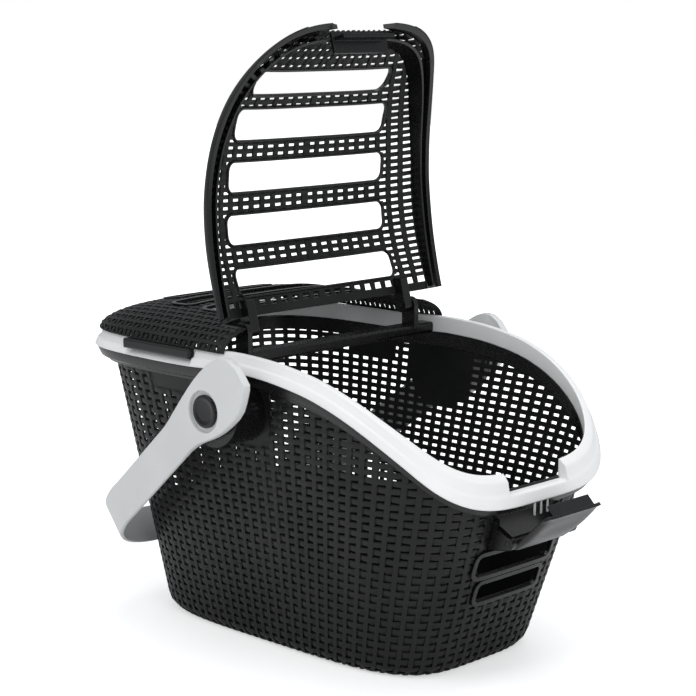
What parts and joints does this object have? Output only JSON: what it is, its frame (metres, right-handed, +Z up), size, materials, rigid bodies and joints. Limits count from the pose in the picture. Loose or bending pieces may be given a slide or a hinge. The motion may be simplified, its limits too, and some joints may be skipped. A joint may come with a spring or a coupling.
{
  "type": "pet carrier",
  "caption": "Portable rattan-look plastic pet carrier with a hinged slotted lid, swinging bail handle and front latch; lid shown open.",
  "frame": {"origin": "centre of the base's resting face, on the floor, below the middle of the collar", "axes": "+Z up, +X towards the latch at the front, +Y towards the left side seen from behind"},
  "size_m": [0.5494, 0.391, 0.6124],
  "materials": {
    "black_plastic": "satin moulded",
    "smooth_black": "smooth semi-gloss",
    "white_plastic": "smooth satin",
    "handle_plastic": "smooth satin",
    "pin_steel": "smooth"
  },
  "bodies": {
    "carrier": {"basket": "black_plastic", "rim_collar": "white_plastic", "rear_cover": "black_plastic", "hinge_frame": "black_plastic", "latch_pin": "pin_steel", "cover_clip_left": "smooth_black", "cover_clip_right": "smooth_black", "pivot_boss_left": "smooth_black", "pivot_boss_right": "smooth_black", "pivot_cap_left": "smooth_black", "pivot_cap_right": "smooth_black", "lid_hinge_pin_left": "pin_steel", "lid_hinge_pin_right": "pin_steel"},
    "lid": {"lid_shell": "black_plastic", "lid_catch": "smooth_black"},
    "handle": {"handle_bail": "handle_plastic"},
    "latch": {"latch_lever": "smooth_black"}
  },
  "joints": [
    {"name": "lid_hinge", "type": "hinge", "parent": "carrier", "child": "lid", "pos_m": [-0.023, 0, 0.318], "axis": [0, 1, 0], "range_deg": [0, 104.7]},
    {"name": "handle_pivot", "type": "hinge", "parent": "carrier", "child": "handle", "pos_m": [-0.001, 0, 0.252], "axis": [0, 1, 0], "range_deg": [0, 110]},
    {"name": "latch_hinge", "type": "hinge", "parent": "carrier", "child": "latch", "pos_m": [0.252, 0, 0.142], "axis": [0, -1, 0], "range_deg": [0, 44]}
  ]
}
